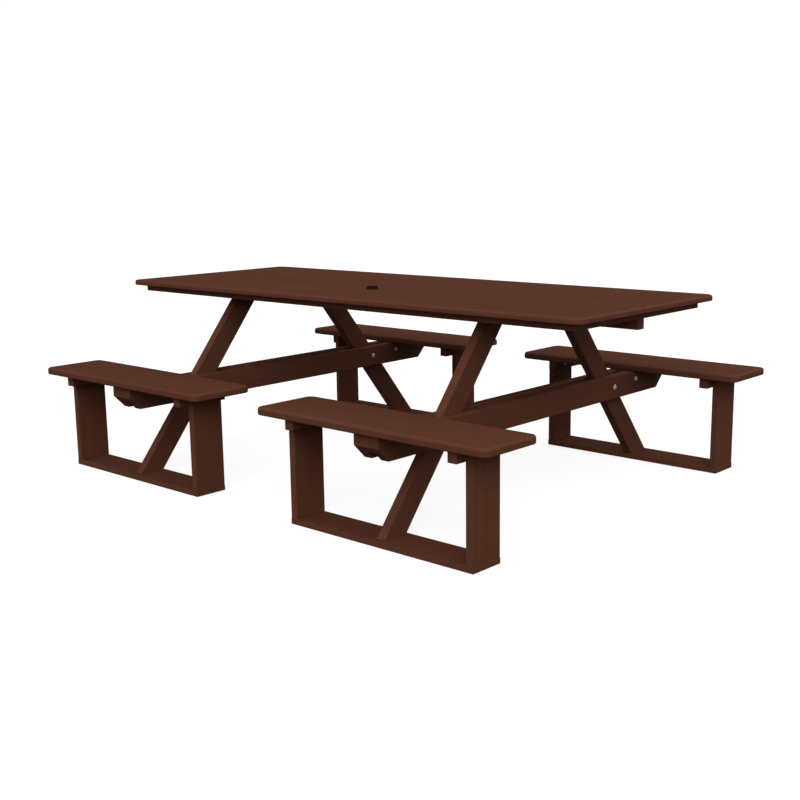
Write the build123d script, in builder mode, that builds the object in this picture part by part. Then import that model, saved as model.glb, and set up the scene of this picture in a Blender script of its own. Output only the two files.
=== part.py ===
"""Eight-seat walk-in picnic table in solid plastic lumber.

A single slab top stands on two A-frames.  Each A-frame has two splayed legs held
between a pair of seat beams, and carries one free-ended bench on the front and one
on the back.  The gaps between the benches are the walk-in places.

Frame: X along the table, Y across it (front is -Y), Z up, origin on the ground
under the centre of the top.  All sizes are in millimetres.
"""
import os
from math import atan2, cos

from build123d import *

os.makedirs("parts", exist_ok=True)

# ---------------------------------------------------------------- table top
top_length = 2438.0
top_width = 920.0
top_thickness = 22.0
top_height = 770.0
top_corner_radius = 45.0
top_upper_round = 9.0
top_lower_round = 4.0
umbrella_hole_y = -140.0
umbrella_bore_diameter = 39.0
collar_wall = 1.5
collar_rim_width = 3.0
collar_rim_height = 12.0
collar_rim_round = 2.0
collar_bore_chamfer = 0.8

# ------------------------------------------------- framing under the top
batten_inset = 50.0
batten_width = 60.0
batten_height = 28.0
stringer_thickness = 40.0
stringer_height = 66.0
cross_cleat_thickness = 38.0
cross_cleat_height = 38.0

# ---------------------------------------------------------------- A-frames
frame_offset = 690.0
leg_thickness = 38.0
leg_width = 89.0
leg_head_setback = 148.0
leg_foot_setback = 9.0
beam_thickness = 38.0
beam_height = 96.0
beam_reach = 109.0
beam_end_chamfer = 50.0
filler_height = 67.0
filler_length = 250.0

# ----------------------------------------------------------------- benches
seat_length = 1040.0
seat_width = 274.0
seat_thickness = 29.0
seat_height = 428.0
seat_corner_radius = 28.0
seat_upper_round = 10.0
seat_lower_round = 6.0
bench_y = 796.0
base_length = 838.0
base_width = 140.0
base_thickness = 22.0
upright_thickness = 28.0
upright_width = 140.0
upright_inset = 2.0
seat_cleat_thickness = 38.0
seat_cleat_height = 41.0
seat_cleat_inset = 24.0

# edge rounding of the sawn boards
board_round = 3.0
thin_board_round = 2.0

# --------------------------------------------------------------- fasteners
fit_gap = 0.2
bolt_radius = 5.0
bolt_head_radius = 11.0
bolt_head_height = 5.5
washer_radius = 12.5
washer_thickness = 2.0
nut_across_flats = 17.0
nut_height = 8.0
nut_corner_chamfer = 0.6
bolt_end_chamfer = 1.0
bolt_tail = 3.0
crossing_bolt_drop = 47.0
filler_bolt_drop = 33.0
filler_bolt_setback = 111.0
screw_radius = 3.0
screw_head_radius = 6.0
screw_head_height = 3.5
screw_head_room = 0.5
screw_head_round = 2.0
screw_tip_chamfer = 1.8
screw_seat_depth = 6.0
top_bite = 14.0
seat_bite = 22.0
upright_bite = 15.0
foot_bite = 45.0
pilot_room = 1.0
batten_screw_count = 5
batten_screw_end_room = 129.0
end_batten_screw_count = 2
end_batten_screw_end_room = 130.0
stringer_screw_count = 5
stringer_screw_end_room = 149.0
stringer_screw_grip = 30.0
cross_cleat_screw_ys = (90.0, 165.0)
seat_cleat_screw_pitch = 160.0
seat_cleat_side_screw_pitch = 80.0
filler_screw_grip = 38.0
filler_screw_steps = (-66.0, 34.0)
base_screw_pitch = 80.0
foot_screw_setback = 17.0
foot_screw_pitch = 40.0

# ----------------------------------------------------------- derived places
top_underside = top_height - top_thickness
umbrella_bore_radius = umbrella_bore_diameter / 2
collar_sleeve_radius = umbrella_bore_radius + collar_wall
collar_rim_radius = umbrella_bore_radius + collar_rim_width
collar_top = top_height + collar_rim_height
batten_underside = top_underside - batten_height
batten_outer_x = top_length / 2 - batten_inset
batten_outer_y = top_width / 2 - batten_inset
batten_inner_x = batten_outer_x - batten_width
batten_inner_y = batten_outer_y - batten_width
stringer_underside = top_underside - stringer_height
cross_cleat_underside = top_underside - cross_cleat_height
cross_cleat_x = (leg_thickness + cross_cleat_thickness) / 2
beam_x = (leg_thickness + beam_thickness) / 2
frame_half = beam_x + beam_thickness / 2
seat_underside = seat_height - seat_thickness
beam_length = 2 * (bench_y + beam_reach)
beam_underside = seat_underside - beam_height
filler_underside = seat_underside - filler_height
filler_outer_y = beam_length / 2
filler_inner_y = filler_outer_y - filler_length
filler_chamfer = beam_end_chamfer - (beam_height - filler_height)
upright_x = base_length / 2 - upright_inset - upright_thickness / 2
upright_height = seat_underside - base_thickness
seat_cleat_x = upright_x - (upright_thickness + seat_cleat_thickness) / 2
seat_cleat_underside = seat_underside - seat_cleat_height
seat_cleat_length = seat_width - 2 * seat_cleat_inset
leg_head_y = batten_inner_y - leg_head_setback
leg_foot_y = bench_y - leg_foot_setback
leg_tilt = atan2(leg_foot_y - leg_head_y, top_underside - base_thickness)
leg_half_section = leg_width / 2 / cos(leg_tilt)
head_bolt_z = top_underside - cross_cleat_height / 2
crossing_bolt_z = seat_underside - crossing_bolt_drop
filler_bolt_y = bench_y - filler_bolt_setback
filler_bolt_z = seat_underside - filler_bolt_drop
foot_screw_y = leg_foot_y - foot_screw_setback
hole_radius = screw_radius + fit_gap
bolt_hole_radius = bolt_radius + fit_gap

FRAMES = {"left": -frame_offset, "right": frame_offset}
SIDES = {"front": -1, "back": 1}


def leg_y(height):
    """Distance of the leg's centre line from the table's centre plane."""
    share = (top_underside - height) / (top_underside - base_thickness)
    return leg_head_y + share * (leg_foot_y - leg_head_y)


def row(count, pitch):
    """Evenly spaced places centred on zero."""
    return [(index - (count - 1) / 2) * pitch for index in range(count)]


def spread(count, half_length, end_room):
    """Evenly spaced places along a board, the outer ones end_room from its ends."""
    return row(count, 2 * (half_length - end_room) / (count - 1))


def facing(x, y, z, direction):
    """A place whose own Z axis points along the given direction."""
    return Plane(origin=(x, y, z), z_dir=direction).location


def facing_down(x, y, z):
    return facing(x, y, z, (0, 0, -1))


def save(piece, name):
    piece.part.label = name
    export_step(piece.part, f"parts/{name}.step")


# --------------------------------------------------------- fastener places
def bolt_places():
    """Outer beam faces where the frame bolts' heads lie."""
    places = []
    for frame_x in FRAMES.values():
        for side in SIDES.values():
            face_x = frame_x + frame_half
            places.append((face_x, side * leg_y(crossing_bolt_z), crossing_bolt_z))
            places.append((face_x, side * filler_bolt_y, filler_bolt_z))
    return places


def head_bolt_places():
    """Cross cleat faces where the leg head bolts' heads lie."""
    face_offset = cross_cleat_x + cross_cleat_thickness / 2
    return [
        (frame_x + face_offset, side * leg_y(head_bolt_z), head_bolt_z)
        for frame_x in FRAMES.values()
        for side in SIDES.values()
    ]


def batten_screw_places():
    """Screws that rise through the edge battens into the slab."""
    batten_y = batten_outer_y - batten_width / 2
    batten_x = batten_outer_x - batten_width / 2
    places = []
    for side in SIDES.values():
        for x in spread(batten_screw_count, batten_outer_x, batten_screw_end_room):
            places.append((x, side * batten_y, batten_underside))
    for end in (-1, 1):
        for y in spread(end_batten_screw_count, batten_inner_y, end_batten_screw_end_room):
            places.append((end * batten_x, y, batten_underside))
    return places


def cross_cleat_screw_places():
    """Screws that rise through the cross cleats into the slab."""
    return [
        (frame_x + cross_cleat_x, side * y, cross_cleat_underside)
        for frame_x in FRAMES.values()
        for side in SIDES.values()
        for y in cross_cleat_screw_ys
    ]


def stringer_screw_places():
    """Screws that rise from deep counterbores in the stringer into the slab."""
    xs = spread(stringer_screw_count, batten_inner_x, stringer_screw_end_room)
    return [(x, 0, stringer_underside) for x in xs]


def seat_cleat_screw_places(frame_x, side):
    """Screws that rise through one bench's seat cleats into its seat."""
    return [
        (frame_x + end * seat_cleat_x, side * bench_y + y, seat_cleat_underside)
        for end in (-1, 1)
        for y in row(2, seat_cleat_screw_pitch)
    ]


def filler_screw_places(frame_x, side):
    """Screws that rise from counterbores in one filler block into the seat."""
    return [(frame_x, side * (bench_y + step), filler_underside) for step in filler_screw_steps]


def side_screw_places(frame_x, side, end):
    """Screws that run level through one seat cleat into its upright."""
    inner_face = frame_x + end * (seat_cleat_x - seat_cleat_thickness / 2)
    height = seat_cleat_underside + seat_cleat_height / 2
    return [
        (inner_face, side * bench_y + y, height)
        for y in row(2, seat_cleat_side_screw_pitch)
    ]


def base_screw_places(frame_x, side):
    """Countersunk screws that rise through one base board into the uprights."""
    return [
        (frame_x + end * upright_x, side * bench_y + y, 0)
        for end in (-1, 1)
        for y in row(2, base_screw_pitch)
    ]


def foot_screw_places(frame_x, side):
    """Countersunk screws that rise through one base board into the leg's foot."""
    return [(frame_x, side * foot_screw_y + y, 0) for y in row(2, foot_screw_pitch)]


# ------------------------------------------------------------- hole helpers
def pilots_from_below(places, face_z, bite):
    """Blind pilot holes that rise from a level face above each screw place."""
    with Locations(*[facing_down(x, y, face_z) for x, y, _ in places]):
        Hole(radius=hole_radius, depth=bite + pilot_room)


def seated_holes_from_below(places, seat_depth, depth):
    """Through holes with a counterbore for a pan head, cut upwards."""
    with Locations(*[facing_down(*place) for place in places]):
        CounterBoreHole(
            radius=hole_radius,
            counter_bore_radius=screw_head_radius + screw_head_room,
            counter_bore_depth=seat_depth,
            depth=depth,
        )


def level_bolt_holes(places, length):
    """Holes along X, cut inwards from each bolt head's face."""
    with Locations(*[facing(*place, (1, 0, 0)) for place in places]):
        Hole(radius=bolt_hole_radius, depth=length)


# ------------------------------------------------------------ top and battens
def make_table_top():
    with BuildPart() as table_top:
        with BuildSketch(Plane.XY.offset(top_underside)):
            RectangleRounded(top_length, top_width, top_corner_radius)
        extrude(amount=top_thickness)
        fillet(table_top.faces().sort_by(Axis.Z)[-1].edges(), top_upper_round)
        fillet(table_top.faces().sort_by(Axis.Z)[0].edges(), top_lower_round)
        with Locations((0, umbrella_hole_y, top_height)):
            Hole(radius=collar_sleeve_radius + fit_gap, depth=top_thickness)
        pilots_from_below(batten_screw_places(), top_underside, top_bite)
        pilots_from_below(cross_cleat_screw_places(), top_underside, top_bite)
        pilots_from_below(stringer_screw_places(), top_underside, top_bite)
    save(table_top, "table_top")


def make_umbrella_collar():
    """A dark sleeve in the slab's hole, with a raised rim that steadies the pole."""
    with BuildPart() as collar:
        with BuildSketch(Plane((0, umbrella_hole_y, top_underside))):
            Circle(collar_sleeve_radius)
        extrude(amount=top_thickness)
        with BuildSketch(Plane((0, umbrella_hole_y, top_height))):
            Circle(collar_rim_radius)
        extrude(amount=collar_rim_height)
        fillet(collar.faces().sort_by(Axis.Z)[-1].edges(), collar_rim_round)
        with Locations((0, umbrella_hole_y, collar_top)):
            Hole(radius=umbrella_bore_radius, depth=collar_top - top_underside)
        bore_rims = collar.edges().filter_by(
            lambda edge: edge.geom_type == GeomType.CIRCLE
            and abs(edge.radius - umbrella_bore_radius) < fit_gap
        )
        chamfer(bore_rims, collar_bore_chamfer)
    save(collar, "umbrella_collar")


def make_edge_batten(name, plan, centre, screws):
    """A flat board screwed under one edge of the slab."""
    with BuildPart() as batten:
        with BuildSketch(Plane((*centre, batten_underside))):
            Rectangle(*plan)
        extrude(amount=batten_height)
        fillet(batten.edges(), thin_board_round)
        seated_holes_from_below(screws, screw_seat_depth, batten_height)
    save(batten, name)


def make_edge_battens():
    long_plan = (2 * batten_outer_x, batten_width)
    short_plan = (batten_width, 2 * batten_inner_y)
    batten_y = batten_outer_y - batten_width / 2
    batten_x = batten_outer_x - batten_width / 2
    screws = batten_screw_places()
    for side_name, side in SIDES.items():
        own = [place for place in screws if place[1] == side * batten_y]
        make_edge_batten(f"edge_batten_{side_name}", long_plan, (0, side * batten_y), own)
    for end_name, end in (("left", -1), ("right", 1)):
        own = [place for place in screws if place[0] == end * batten_x]
        make_edge_batten(f"edge_batten_{end_name}", short_plan, (end * batten_x, 0), own)


def make_centre_stringer():
    with BuildPart() as stringer:
        with BuildSketch(Plane.XZ):
            with BuildLine():
                Polyline(
                    (-batten_outer_x, stringer_underside),
                    (batten_outer_x, stringer_underside),
                    (batten_outer_x, batten_underside),
                    (batten_inner_x, batten_underside),
                    (batten_inner_x, top_underside),
                    (-batten_inner_x, top_underside),
                    (-batten_inner_x, batten_underside),
                    (-batten_outer_x, batten_underside),
                    close=True,
                )
            make_face()
        extrude(amount=stringer_thickness / 2, both=True)
        lower_rim = stringer.faces().sort_by(Axis.Z)[0].edges()
        fillet(lower_rim, board_round)
        seated_holes_from_below(
            stringer_screw_places(), stringer_height - stringer_screw_grip, stringer_height
        )
    save(stringer, "centre_stringer")


def make_cross_cleats():
    """Blocks beside the leg heads, between the stringer and the edge battens."""
    inner_y = stringer_thickness / 2
    length = batten_inner_y - inner_y
    for frame_name, frame_x in FRAMES.items():
        for side_name, side in SIDES.items():
            centre = (frame_x + cross_cleat_x, side * (inner_y + length / 2))
            screws = [
                place for place in cross_cleat_screw_places()
                if place[0] == centre[0] and place[1] * side > 0
            ]
            with BuildPart() as cleat:
                with BuildSketch(Plane((*centre, cross_cleat_underside))):
                    Rectangle(cross_cleat_thickness, length)
                extrude(amount=cross_cleat_height)
                fillet(cleat.edges().filter_by(Axis.Y), board_round)
                seated_holes_from_below(screws, screw_seat_depth, cross_cleat_height)
                level_bolt_holes(head_bolt_places(), cross_cleat_thickness)
            save(cleat, f"cross_cleat_{frame_name}_{side_name}")


# ---------------------------------------------------------------- A-frames
def make_leg(frame_name, frame_x, side_name, side):
    head = side * leg_head_y
    foot = side * leg_foot_y
    with BuildPart() as leg:
        with BuildSketch(Plane.YZ.offset(frame_x)):
            with BuildLine():
                Polyline(
                    (head - leg_half_section, top_underside),
                    (head + leg_half_section, top_underside),
                    (foot + leg_half_section, base_thickness),
                    (foot - leg_half_section, base_thickness),
                    close=True,
                )
            make_face()
        extrude(amount=leg_thickness / 2, both=True)
        fillet(leg.edges().sort_by(SortBy.LENGTH)[-4:], board_round)
        level_bolt_holes(bolt_places(), 2 * frame_half)
        level_bolt_holes(head_bolt_places(), cross_cleat_thickness + leg_thickness)
        pilots_from_below(foot_screw_places(frame_x, side), base_thickness, foot_bite)
    save(leg, f"leg_{frame_name}_{side_name}")


def make_seat_beam(frame_name, frame_x, face_name, face):
    """One of the two long boards that clasp the legs and carry both benches."""
    with BuildPart() as beam:
        with BuildSketch(Plane.YZ.offset(frame_x + face * beam_x)) as outline:
            with Locations((0, beam_underside + beam_height / 2)):
                Rectangle(beam_length, beam_height)
            chamfer(outline.vertices().group_by(Axis.Y)[0], beam_end_chamfer)
        extrude(amount=beam_thickness / 2, both=True)
        fillet(beam.edges(), board_round)
        level_bolt_holes(bolt_places(), 2 * frame_half)
    save(beam, f"seat_beam_{frame_name}_{face_name}")


def make_filler_block(frame_name, frame_x, side_name, side):
    """The block that fills the beams' end under one seat."""
    middle = side * (filler_outer_y - filler_length / 2)
    with BuildPart() as filler:
        with BuildSketch(Plane.YZ.offset(frame_x)) as outline:
            with Locations((middle, filler_underside + filler_height / 2)):
                Rectangle(filler_length, filler_height)
            low_corners = outline.vertices().group_by(Axis.Y)[0]
            chamfer(low_corners.sort_by(Axis.X)[0 if side < 0 else -1], filler_chamfer)
        extrude(amount=leg_thickness / 2, both=True)
        level_bolt_holes(bolt_places(), 2 * frame_half)
        seated_holes_from_below(
            filler_screw_places(frame_x, side), filler_height - filler_screw_grip, filler_height
        )
    save(filler, f"filler_block_{frame_name}_{side_name}")


# ----------------------------------------------------------------- benches
def make_seat(bench_name, frame_x, side):
    with BuildPart() as seat:
        with BuildSketch(Plane((frame_x, side * bench_y, seat_underside))):
            RectangleRounded(seat_length, seat_width, seat_corner_radius)
        extrude(amount=seat_thickness)
        fillet(seat.faces().sort_by(Axis.Z)[-1].edges(), seat_upper_round)
        fillet(seat.faces().sort_by(Axis.Z)[0].edges(), seat_lower_round)
        pilots_from_below(seat_cleat_screw_places(frame_x, side), seat_underside, seat_bite)
        pilots_from_below(filler_screw_places(frame_x, side), seat_underside, seat_bite)
    save(seat, f"seat_{bench_name}")


def make_base_board(bench_name, frame_x, side):
    screws = base_screw_places(frame_x, side) + foot_screw_places(frame_x, side)
    with BuildPart() as base:
        with BuildSketch(Plane((frame_x, side * bench_y, 0))):
            Rectangle(base_length, base_width)
        extrude(amount=base_thickness)
        fillet(base.edges(), thin_board_round)
        with Locations(*[facing_down(*place) for place in screws]):
            CounterSinkHole(
                radius=hole_radius,
                counter_sink_radius=screw_head_radius + screw_head_room,
                depth=base_thickness,
                counter_sink_angle=90,
            )
    save(base, f"base_board_{bench_name}")


def make_upright(bench_name, frame_x, side, end_name, end):
    centre_x = frame_x + end * upright_x
    screws = [place for place in base_screw_places(frame_x, side) if place[0] == centre_x]
    inner_x = centre_x - end * upright_thickness / 2
    side_screws = side_screw_places(frame_x, side, end)
    with BuildPart() as upright:
        with BuildSketch(Plane((centre_x, side * bench_y, base_thickness))):
            Rectangle(upright_thickness, upright_width)
        extrude(amount=upright_height)
        fillet(upright.edges(), thin_board_round)
        pilots_from_below(screws, base_thickness, foot_bite)
        with Locations(*[facing(inner_x, y, z, (-end, 0, 0)) for _, y, z in side_screws]):
            Hole(radius=hole_radius, depth=upright_bite + pilot_room)
    save(upright, f"upright_{bench_name}_{end_name}")


def make_seat_cleat(bench_name, frame_x, side, end_name, end):
    centre_x = frame_x + end * seat_cleat_x
    screws = [
        place for place in seat_cleat_screw_places(frame_x, side) if place[0] == centre_x
    ]
    side_screws = side_screw_places(frame_x, side, end)
    with BuildPart() as cleat:
        with BuildSketch(Plane((centre_x, side * bench_y, seat_cleat_underside))):
            Rectangle(seat_cleat_thickness, seat_cleat_length)
        extrude(amount=seat_cleat_height)
        fillet(cleat.edges(), board_round)
        seated_holes_from_below(screws, screw_seat_depth, seat_cleat_height)
        with Locations(*[facing(*place, (-end, 0, 0)) for place in side_screws]):
            Hole(radius=hole_radius, depth=seat_cleat_thickness)
    save(cleat, f"seat_cleat_{bench_name}_{end_name}")


# --------------------------------------------------------------- fasteners
def pan_screw(length):
    """A pan head screw, its head above the local origin and its shank below."""
    with BuildPart() as screw:
        with BuildSketch(Plane.XY):
            Circle(screw_head_radius)
        extrude(amount=screw_head_height)
        fillet(screw.faces().sort_by(Axis.Z)[-1].edges(), screw_head_round)
        with BuildSketch(Plane.XY):
            Circle(screw_radius)
        extrude(amount=-length)
        chamfer(screw.faces().sort_by(Axis.Z)[0].edges(), screw_tip_chamfer)
    return screw.part


def countersunk_screw(length):
    """A flat head screw whose head lies level with the local origin."""
    with BuildPart() as screw:
        with BuildSketch(Plane.XZ):
            with BuildLine():
                Polyline(
                    (0, 0),
                    (screw_head_radius, 0),
                    (screw_radius, screw_radius - screw_head_radius),
                    (screw_radius, screw_radius - length),
                    (0, -length),
                    close=True,
                )
            make_face()
        revolve(axis=Axis.Z)
    return screw.part


def carriage_bolt(length):
    """A domed bolt, its head above the local origin and its shank below."""
    dome_radius = (bolt_head_radius**2 + bolt_head_height**2) / (2 * bolt_head_height)
    with BuildPart() as bolt:
        with BuildSketch(Plane.XZ):
            with BuildLine():
                RadiusArc((bolt_head_radius, 0), (0, bolt_head_height), -dome_radius)
                Line((0, bolt_head_height), (0, -length))
                Line((0, -length), (bolt_radius - bolt_end_chamfer, -length))
                Line(
                    (bolt_radius - bolt_end_chamfer, -length),
                    (bolt_radius, bolt_end_chamfer - length),
                )
                Line((bolt_radius, bolt_end_chamfer - length), (bolt_radius, 0))
                Line((bolt_radius, 0), (bolt_head_radius, 0))
            make_face()
        revolve(axis=Axis.Z)
    return bolt.part


def washer():
    with BuildPart() as ring:
        with BuildSketch(Plane.XY):
            Circle(washer_radius)
            Circle(bolt_hole_radius, mode=Mode.SUBTRACT)
        extrude(amount=washer_thickness)
    return ring.part


def hex_nut():
    """A nut with its lower face on the local origin and its corners eased."""
    corner_radius = nut_across_flats / 3**0.5
    with BuildPart() as nut:
        with BuildSketch(Plane.XY):
            RegularPolygon(corner_radius, 6)
        extrude(amount=nut_height)
        with BuildSketch(Plane.XY):
            Circle(corner_radius)
        extrude(amount=nut_height, mode=Mode.INTERSECT)
        with BuildSketch(Plane.XY):
            Circle(bolt_hole_radius)
        extrude(amount=nut_height, mode=Mode.SUBTRACT)
        chamfer(nut.edges().filter_by(GeomType.CIRCLE).group_by(Axis.Z)[-1], nut_corner_chamfer)
    return nut.part


def make_group(name, item, places):
    """One node that holds a copy of the item at every place."""
    with BuildPart() as group:
        with Locations(*places):
            add(item)
    save(group, name)


def make_bolt_sets():
    """Bolts with a washer and a nut at the far end, for beams and leg heads."""
    sets = (
        ("frame", bolt_places(), 2 * frame_half),
        ("leg_head", head_bolt_places(), cross_cleat_thickness + leg_thickness),
    )
    for name, places, grip in sets:
        length = grip + washer_thickness + nut_height + bolt_tail
        heads = [facing(x, y, z, (1, 0, 0)) for x, y, z in places]
        tails = [facing(x - grip, y, z, (-1, 0, 0)) for x, y, z in places]
        nuts = [facing(x - grip - washer_thickness, y, z, (-1, 0, 0)) for x, y, z in places]
        make_group(f"{name}_bolts", carriage_bolt(length), heads)
        make_group(f"{name}_washers", washer(), tails)
        make_group(f"{name}_nuts", hex_nut(), nuts)


def make_screw_sets():
    benches = [(frame_x, side) for frame_x in FRAMES.values() for side in SIDES.values()]
    batten_grip = batten_height - screw_seat_depth
    cross_grip = cross_cleat_height - screw_seat_depth
    seat_grip = seat_cleat_height - screw_seat_depth

    def raised(places, height):
        return [facing_down(x, y, z + height) for x, y, z in places]

    make_group(
        "batten_screws",
        pan_screw(batten_grip + top_bite),
        raised(batten_screw_places(), screw_seat_depth),
    )
    make_group(
        "cross_cleat_screws",
        pan_screw(cross_grip + top_bite),
        raised(cross_cleat_screw_places(), screw_seat_depth),
    )
    make_group(
        "stringer_screws",
        pan_screw(stringer_screw_grip + top_bite),
        raised(stringer_screw_places(), stringer_height - stringer_screw_grip),
    )
    make_group(
        "seat_cleat_screws",
        pan_screw(seat_grip + seat_bite),
        [
            place
            for bench in benches
            for place in raised(seat_cleat_screw_places(*bench), screw_seat_depth)
        ],
    )
    make_group(
        "filler_screws",
        pan_screw(filler_screw_grip + seat_bite),
        [
            place
            for bench in benches
            for place in raised(filler_screw_places(*bench), filler_height - filler_screw_grip)
        ],
    )
    make_group(
        "upright_side_screws",
        pan_screw(seat_cleat_thickness + upright_bite),
        [
            facing(*place, (-end, 0, 0))
            for bench in benches
            for end in (-1, 1)
            for place in side_screw_places(*bench, end)
        ],
    )
    make_group(
        "base_screws",
        countersunk_screw(base_thickness + foot_bite),
        [
            facing_down(*place)
            for bench in benches
            for place in base_screw_places(*bench) + foot_screw_places(*bench)
        ],
    )


# ----------------------------------------------------------------- assembly
make_table_top()
make_umbrella_collar()
make_edge_battens()
make_centre_stringer()
make_cross_cleats()
for frame_name, frame_x in FRAMES.items():
    for face_name, face in (("a", -1), ("b", 1)):
        make_seat_beam(frame_name, frame_x, face_name, face)
    for side_name, side in SIDES.items():
        make_leg(frame_name, frame_x, side_name, side)
        make_filler_block(frame_name, frame_x, side_name, side)
        bench_name = f"{frame_name}_{side_name}"
        make_seat(bench_name, frame_x, side)
        make_base_board(bench_name, frame_x, side)
        for end_name, end in (("a", -1), ("b", 1)):
            make_upright(bench_name, frame_x, side, end_name, end)
            make_seat_cleat(bench_name, frame_x, side, end_name, end)
make_bolt_sets()
make_screw_sets()
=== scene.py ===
"""Looks of the walk-in picnic table: brown plastic lumber, bolts, studio and camera.

Metres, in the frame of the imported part: X along the table, -Y the front, Z up.
"""
from math import pi, radians

import bpy
from mathutils import Matrix, Vector


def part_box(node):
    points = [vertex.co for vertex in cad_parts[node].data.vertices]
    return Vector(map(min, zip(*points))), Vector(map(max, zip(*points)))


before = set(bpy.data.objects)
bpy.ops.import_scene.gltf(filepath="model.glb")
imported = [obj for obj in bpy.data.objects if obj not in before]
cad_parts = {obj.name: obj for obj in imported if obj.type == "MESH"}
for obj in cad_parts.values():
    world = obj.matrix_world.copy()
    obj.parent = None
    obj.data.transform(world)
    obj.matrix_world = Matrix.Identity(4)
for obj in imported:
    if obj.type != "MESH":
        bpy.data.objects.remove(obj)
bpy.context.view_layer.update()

# ------------------------------------------------------------ driving values
CAMERA_PLACE = (3.270, -3.556, 1.238)
CAMERA_YAW = 42.45
CAMERA_PITCH = 11.14
CAMERA_ROLL = -0.80
CAMERA_LENS = 52.14
SENSOR_WIDTH = 36.0

SHEET_COLOUR = (0.106, 0.0375, 0.0205)
LUMBER_COLOUR = (0.108, 0.0385, 0.0215)
# Dark plastic for the umbrella collar, darkened to near black as painted shade of the umbrella hole.
COLLAR_HOLE_SHADE_COLOUR = (0.022, 0.0080, 0.0035)
STEEL_COLOUR = (0.66, 0.69, 0.80)

END_TOLERANCE = 0.0005

FLOOR_TONE = 0.24
FLOOR_GLOW = 0.84
FLOOR_BOUNCE = 0.08
SKY_LIGHT = (0.92, 0.86, 0.0)
SKY_GLOSS = (0.0, 0.8, 0.45)
KEY_STRENGTH = 1.4
SUN_SPREAD = 40.0
KEY_DIRECTION = (0.55, -0.72, 0.62)
FILL_STRENGTH = 0.35
FILL_DIRECTION = (0.15, 0.75, 0.70)


# ------------------------------------------------------------- node helpers
class Shader:
    """A material under construction: adds nodes and links them by name."""

    def __init__(self, name):
        self.material = bpy.data.materials.new(name)
        self.material.use_nodes = True
        self.tree = self.material.node_tree
        self.tree.nodes.clear()
        self.output = self.add("ShaderNodeOutputMaterial")
        self.surface = self.add("ShaderNodeBsdfPrincipled")
        self.link(self.surface.outputs["BSDF"], self.output.inputs["Surface"])

    def add(self, kind, **settings):
        node = self.tree.nodes.new(kind)
        for key, value in settings.items():
            setattr(node, key, value)
        return node

    def link(self, source, target):
        self.tree.links.new(source, target)

    def feed(self, node, **values):
        """Sets sockets to numbers, or links them where the value is a socket."""
        for key, value in values.items():
            socket = node.inputs[key.replace("_", " ")]
            if isinstance(value, bpy.types.NodeSocket):
                self.link(value, socket)
            else:
                socket.default_value = value

    def noise(self, place, scale, detail=3.0, roughness=0.5):
        node = self.add("ShaderNodeTexNoise")
        self.feed(node, Vector=place, Scale=scale, Detail=detail, Roughness=roughness)
        return node.outputs["Fac"]

    def stretched(self, place, rotation, scale):
        """Coordinates turned into the grain's direction and scaled along each axis."""
        node = self.add("ShaderNodeMapping", vector_type="TEXTURE")
        self.feed(node, Vector=place, Rotation=rotation)
        squeeze = self.add("ShaderNodeVectorMath", operation="MULTIPLY")
        self.link(node.outputs["Vector"], squeeze.inputs[0])
        squeeze.inputs[1].default_value = scale
        return squeeze.outputs["Vector"]

    def remap(self, value, low, high, to_low=0.0, to_high=1.0):
        node = self.add("ShaderNodeMapRange")
        node.inputs["Value"].default_value = 0.0
        self.link(value, node.inputs["Value"])
        self.feed(node, From_Min=low, From_Max=high, To_Min=to_low, To_Max=to_high)
        return node.outputs["Result"]

    def math(self, operation, first, second):
        node = self.add("ShaderNodeMath", operation=operation)
        for socket, value in zip(node.inputs, (first, second)):
            if isinstance(value, bpy.types.NodeSocket):
                self.link(value, socket)
            else:
                socket.default_value = value
        return node.outputs["Value"]

    def blend(self, amount, first, second, mode="MIX"):
        node = self.add("ShaderNodeMix", data_type="RGBA", blend_type=mode)
        for index, value in ((0, amount), (6, first), (7, second)):
            socket = node.inputs[index]
            if isinstance(value, bpy.types.NodeSocket):
                self.link(value, socket)
            elif index:
                socket.default_value = (*value, 1.0)
            else:
                socket.default_value = value
        return node.outputs[2]

    def bump(self, height, distance, strength=1.0, under=None):
        node = self.add("ShaderNodeBump")
        self.feed(node, Height=height, Distance=distance, Strength=strength)
        if under is not None:
            self.link(under, node.inputs["Normal"])
        return node.outputs["Normal"]

    def edge_mask(self, radius):
        """One on edges and corners, zero on flats."""
        bevel = self.add("ShaderNodeBevel", samples=4)
        bevel.inputs["Radius"].default_value = radius
        geometry = self.add("ShaderNodeNewGeometry")
        dot = self.add("ShaderNodeVectorMath", operation="DOT_PRODUCT")
        self.link(bevel.outputs["Normal"], dot.inputs[0])
        self.link(geometry.outputs["Normal"], dot.inputs[1])
        return self.remap(dot.outputs["Value"], 0.995, 0.85)


def scaled(colour, factor):
    return tuple(channel * factor for channel in colour)


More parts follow.
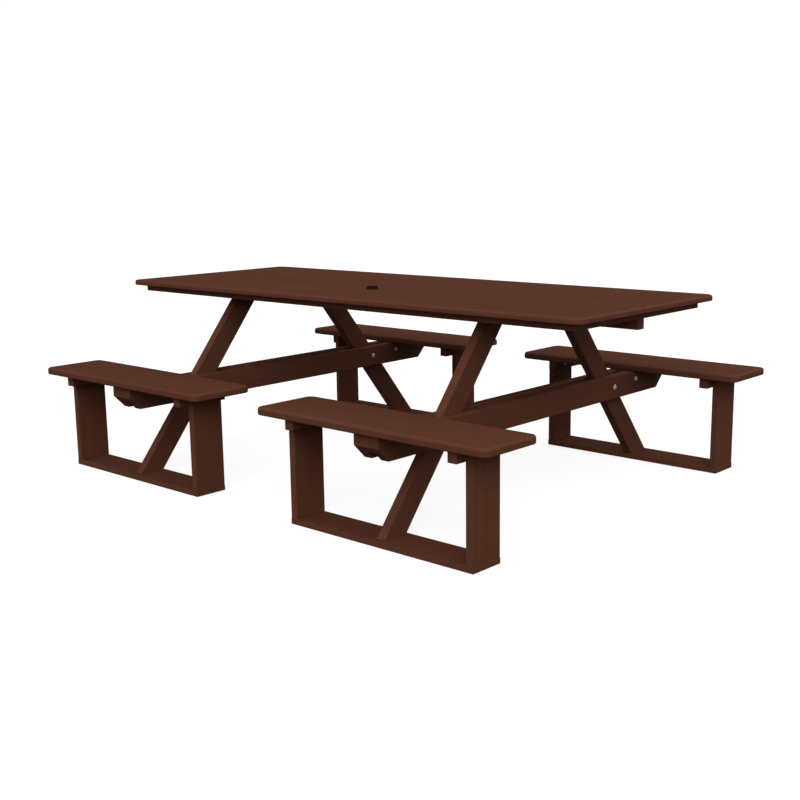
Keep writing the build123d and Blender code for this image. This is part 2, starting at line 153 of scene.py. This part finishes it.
# ---------------------------------------------------------------- materials
def make_plastic(name, colour, grain=(1.0, 0.0, 0.0)):
    """Solid coloured plastic with a drawn grain, satin, its edges painted a little paler, partly as rubbed wear and
    partly as a painted edge highlight.
    """
    shader = Shader(name)
    rotation = Vector((1.0, 0.0, 0.0)).rotation_difference(Vector(grain)).to_euler()
    place = shader.add("ShaderNodeTexCoord").outputs["Object"]
    streaks = shader.noise(shader.stretched(place, rotation, (1.2, 42.0, 42.0)), 1.0, 4.0, 0.6)
    fibres = shader.noise(shader.stretched(place, rotation, (9.0, 420.0, 420.0)), 1.0, 3.0, 0.6)
    mottle = shader.noise(place, 7.0, 4.0, 0.55)
    specks = shader.noise(place, 260.0, 2.0, 0.5)
    pores = shader.noise(place, 900.0, 2.0, 0.6)

    body = shader.blend(shader.remap(mottle, 0.3, 0.7), scaled(colour, 0.95), scaled(colour, 1.07))
    dark_streak = shader.remap(streaks, 0.35, 0.65)
    body = shader.blend(dark_streak, scaled(colour, 0.91), body)
    pale_speck = shader.remap(specks, 0.66, 0.80, 0.0, 0.35)
    body = shader.blend(pale_speck, body, scaled(colour, 1.7))
    # Paler edges: partly rubbed wear, partly a painted highlight along the edges.
    wear_and_edge_highlight = shader.math("MULTIPLY", shader.edge_mask(0.002), shader.remap(mottle, 0.35, 0.6, 0.2, 0.8))
    body = shader.blend(wear_and_edge_highlight, body, scaled(colour, 1.12))

    gloss = shader.math("ADD", shader.remap(streaks, 0.2, 0.8, 0.40, 0.54), shader.remap(pores, 0.3, 0.7, -0.04, 0.04))
    relief = shader.bump(fibres, 0.00025, 0.6)
    relief = shader.bump(pores, 0.00015, 0.6, relief)
    shader.feed(shader.surface, Base_Color=body, Roughness=gloss, Normal=relief)
    shader.surface.inputs["IOR"].default_value = 1.5
    shader.surface.inputs["Specular IOR Level"].default_value = 0.04
    return shader.material


def make_steel(name):
    """Satin stainless steel with fine straight scratches along the table."""
    shader = Shader(name)
    place = shader.add("ShaderNodeTexCoord").outputs["Object"]
    scratches = shader.noise(shader.stretched(place, (0.0, 0.0, 0.0), (300.0, 2500.0, 2500.0)), 1.0)
    stain = shader.noise(place, 120.0)
    body = shader.blend(shader.remap(stain, 0.35, 0.7), STEEL_COLOUR, scaled(STEEL_COLOUR, 0.8))
    shader.feed(
        shader.surface, Base_Color=body, Roughness=shader.remap(scratches, 0.3, 0.7, 0.30, 0.46),
        Normal=shader.bump(scratches, 0.00005, 0.5),
    )
    shader.surface.inputs["Metallic"].default_value = 0.45
    return shader.material


def leg_grain(leg):
    """Direction from the middle of a leg's foot to the middle of its head."""
    low, high = (corner.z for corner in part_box(leg.name))
    ends = []
    for height in (low, high):
        corners = [v.co for v in leg.data.vertices if abs(v.co.z - height) < END_TOLERANCE]
        ends.append(sum(corners, Vector()) / len(corners))
    return (ends[1] - ends[0]).normalized()


def board_grain(name):
    """The world axis that a straight board runs along."""
    low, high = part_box(name)
    size = list(high - low)
    return tuple(float(length == max(size)) for length in size)


def paint_nodes():
    """Gives every part its material, with the grain along each board."""
    sheet = make_plastic("brown_sheet", SHEET_COLOUR)
    # The collar's near-black colour is partly its dark plastic and partly painted shade of the umbrella hole.
    collar = make_plastic("dark_plastic", COLLAR_HOLE_SHADE_COLOUR, (0.0, 0.0, 1.0))
    steel = make_steel("stainless_steel")
    lumber = {}
    for name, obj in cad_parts.items():
        if name.endswith(("bolts", "nuts", "washers", "screws")):
            material = steel
        elif name == "umbrella_collar":
            material = collar
        elif name == "table_top" or name.startswith("seat_") and "beam" not in name and "cleat" not in name:
            material = sheet
        else:
            grain = leg_grain(obj) if name.startswith("leg_") else board_grain(name)
            key = tuple(round(part, 2) for part in grain)
            if key not in lumber:
                lumber[key] = make_plastic(f"brown_lumber_{len(lumber)}", LUMBER_COLOUR, grain)
            material = lumber[key]
        obj.data.materials.clear()
        obj.data.materials.append(material)


# ------------------------------------------------------------------- studio
def choose(tree, ray, otherwise, when):
    """One shader for one kind of light ray and another for the rest."""
    path = tree.nodes.new("ShaderNodeLightPath")
    mix = tree.nodes.new("ShaderNodeMixShader")
    tree.links.new(path.outputs[ray], mix.inputs["Fac"])
    tree.links.new(otherwise, mix.inputs[1])
    tree.links.new(when, mix.inputs[2])
    return mix.outputs["Shader"]


def make_floor():
    """A pale floor with soft shadows that throws little light up under the seats."""
    material = bpy.data.materials.new("floor_paint")
    material.use_nodes = True
    tree = material.node_tree
    tree.nodes.clear()
    output = tree.nodes.new("ShaderNodeOutputMaterial")
    dull = tree.nodes.new("ShaderNodeBsdfDiffuse")
    dull.inputs["Color"].default_value = (FLOOR_BOUNCE, FLOOR_BOUNCE, FLOOR_BOUNCE, 1.0)
    pale = tree.nodes.new("ShaderNodeBsdfDiffuse")
    pale.inputs["Color"].default_value = (FLOOR_TONE, FLOOR_TONE, FLOOR_TONE, 1.0)
    glow = tree.nodes.new("ShaderNodeEmission")
    glow.inputs["Strength"].default_value = FLOOR_GLOW
    lit = tree.nodes.new("ShaderNodeAddShader")
    tree.links.new(pale.outputs["BSDF"], lit.inputs[0])
    tree.links.new(glow.outputs["Emission"], lit.inputs[1])
    surface = choose(tree, "Is Camera Ray", dull.outputs["BSDF"], lit.outputs["Shader"])
    tree.links.new(surface, output.inputs["Surface"])
    mesh = bpy.data.meshes.new("floor")
    half = 60.0
    corners = [(-half, -half, 0.0), (half, -half, 0.0), (half, half, 0.0), (-half, half, 0.0)]
    mesh.from_pydata(corners, [], [(0, 1, 2, 3)])
    mesh.materials.append(material)
    floor = bpy.data.objects.new("floor", mesh)
    bpy.context.scene.collection.objects.link(floor)


def dome(tree, horizon, zenith, start):
    """Even light that grows from the horizon to overhead."""
    place = tree.nodes.new("ShaderNodeTexCoord")
    split = tree.nodes.new("ShaderNodeSeparateXYZ")
    tree.links.new(place.outputs["Generated"], split.inputs["Vector"])
    ramp = tree.nodes.new("ShaderNodeMapRange")
    tree.links.new(split.outputs["Z"], ramp.inputs["Value"])
    ramp.inputs["From Min"].default_value = start
    ramp.inputs["From Max"].default_value = 1.0
    ramp.inputs["To Min"].default_value = horizon
    ramp.inputs["To Max"].default_value = zenith
    light = tree.nodes.new("ShaderNodeBackground")
    light.inputs["Color"].default_value = (1.0, 1.0, 1.0, 1.0)
    tree.links.new(ramp.outputs["Result"], light.inputs["Strength"])
    return light.outputs["Background"]


def make_sky():
    """A soft even dome, flagged low down so the top shows no glare, and a white backdrop."""
    world = bpy.data.worlds.new("studio")
    world.use_nodes = True
    tree = world.node_tree
    tree.nodes.clear()
    output = tree.nodes.new("ShaderNodeOutputWorld")
    backdrop = tree.nodes.new("ShaderNodeBackground")
    backdrop.inputs["Color"].default_value = (1.0, 1.0, 1.0, 1.0)
    lighting = dome(tree, *SKY_LIGHT)
    lighting = choose(tree, "Is Glossy Ray", lighting, dome(tree, *SKY_GLOSS))
    lighting = choose(tree, "Is Camera Ray", lighting, backdrop.outputs["Background"])
    tree.links.new(lighting, output.inputs["Surface"])
    bpy.context.scene.world = world


def make_sun(name, strength, direction):
    """A broad soft lamp that shines from the given direction."""
    lamp = bpy.data.lights.new(name, "SUN")
    lamp.energy = strength
    lamp.angle = radians(SUN_SPREAD)
    sun = bpy.data.objects.new(name, lamp)
    sun.rotation_euler = Vector(direction).to_track_quat("Z", "Y").to_euler()
    bpy.context.scene.collection.objects.link(sun)


def make_camera():
    data = bpy.data.cameras.new("camera")
    data.lens = CAMERA_LENS
    data.sensor_width = SENSOR_WIDTH
    camera = bpy.data.objects.new("camera", data)
    turn = Matrix.Rotation(radians(CAMERA_YAW), 4, "Z")
    tip = Matrix.Rotation(pi / 2 - radians(CAMERA_PITCH), 4, "X")
    roll = Matrix.Rotation(radians(CAMERA_ROLL), 4, "Z")
    camera.matrix_world = Matrix.Translation(CAMERA_PLACE) @ turn @ tip @ roll
    bpy.context.scene.collection.objects.link(camera)
    bpy.context.scene.camera = camera


paint_nodes()
make_floor()
make_sky()
make_sun("key", KEY_STRENGTH, KEY_DIRECTION)
make_sun("back_fill", FILL_STRENGTH, FILL_DIRECTION)
make_camera()
bpy.context.scene.view_settings.view_transform = "Standard"
